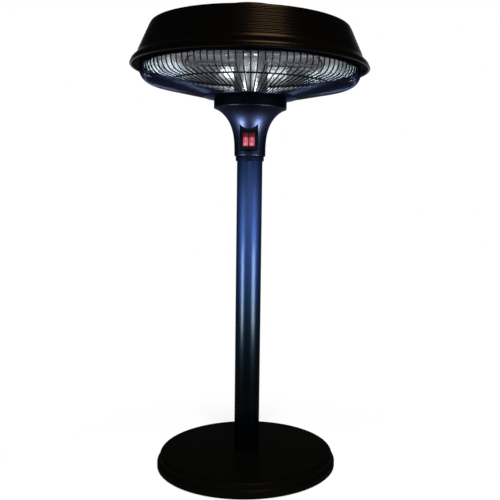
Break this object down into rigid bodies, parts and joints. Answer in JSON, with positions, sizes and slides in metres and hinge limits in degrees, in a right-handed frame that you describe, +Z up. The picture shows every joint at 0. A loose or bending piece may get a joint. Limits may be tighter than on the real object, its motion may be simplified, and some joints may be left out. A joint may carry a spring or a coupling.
{
  "type": "electric tabletop heater",
  "caption": "Electric tabletop heater: weighted round base, straight post, flared switch housing, and a ribbed round shade with halogen lamps behind a wire guard.",
  "frame": {"origin": "on the surface that the heater stands on, under the middle of the post", "axes": "+Z up along the post, the switches face -Y, +X to the right of someone facing the switches"},
  "size_m": [0.4619, 0.462, 0.9156],
  "materials": {
    "black_paint": "satin powder coat",
    "shade_paint": "glossy enamel",
    "post_paint": "satin powder coat",
    "housing_paint": "satin powder coat",
    "guard_paint": "satin powder coat",
    "cast_ballast": "rough cast",
    "plated_steel": "zinc plated",
    "screw_steel": "zinc plated",
    "foot_rubber": "matt",
    "black_plastic": "matt moulded",
    "housing_plastic": "satin moulded",
    "switch_plastic": "semi-gloss moulded",
    "rocker_red": "glossy translucent moulded",
    "brass_tabs": "plain",
    "ceramic": "unglazed ceramic",
    "bright_aluminium": "polished",
    "reflector_aluminium": "satin bright",
    "quartz": "clear quartz",
    "filament_wire": "drawn wire",
    "lead_silicone": "matt silicone"
  },
  "bodies": {
    "root": {"base_cover": "black_paint", "base_weight": "cast_ballast", "base_plate": "plated_steel", "rubber_feet": "foot_rubber", "foot_screws": "screw_steel", "cord_inlet": "black_plastic", "post_foot": "plated_steel", "post_bolts": "screw_steel", "post_tube": "post_paint", "post_head": "plated_steel", "post_collar": "housing_plastic", "housing_left": "housing_plastic", "housing_right": "housing_plastic", "switch_body": "switch_plastic", "switch_terminals": "brass_tabs", "wiring_bracket": "plated_steel", "terminal_block": "ceramic", "tilt_switch": "black_plastic", "centre_rod": "screw_steel", "rod_nut": "screw_steel", "guard_disc": "housing_paint", "disc_screws": "screw_steel", "guard_wires": "guard_paint", "guard_ring": "guard_paint", "guard_rim": "guard_paint", "guard_clips": "screw_steel", "centre_column": "bright_aluminium", "reflector": "reflector_aluminium", "lamp_front": "quartz", "lamp_rear": "quartz", "lamp_filaments": "filament_wire", "lamp_caps": "ceramic", "lamp_bracket_left": "plated_steel", "lamp_bracket_right": "plated_steel", "bracket_screws": "screw_steel", "lamp_leads": "lead_silicone", "rim_plate": "black_paint", "rim_screws": "screw_steel", "shade": "shade_paint", "roof_spacer": "plated_steel", "top_cap": "shade_paint", "top_nut": "black_plastic"},
    "rocker_left": {"rocker_left": "rocker_red"},
    "rocker_right": {"rocker_right": "rocker_red"}
  },
  "joints": [
    {"name": "rocker_left_tilt", "type": "hinge", "parent": "root", "child": "rocker_left", "pos_m": [-0.00605, -0.0252, 0.6507], "axis": [1, 0, 0], "range_deg": [0, 18]},
    {"name": "rocker_right_tilt", "type": "hinge", "parent": "root", "child": "rocker_right", "pos_m": [0.00605, -0.0252, 0.6507], "axis": [1, 0, 0], "range_deg": [0, 18]}
  ]
}
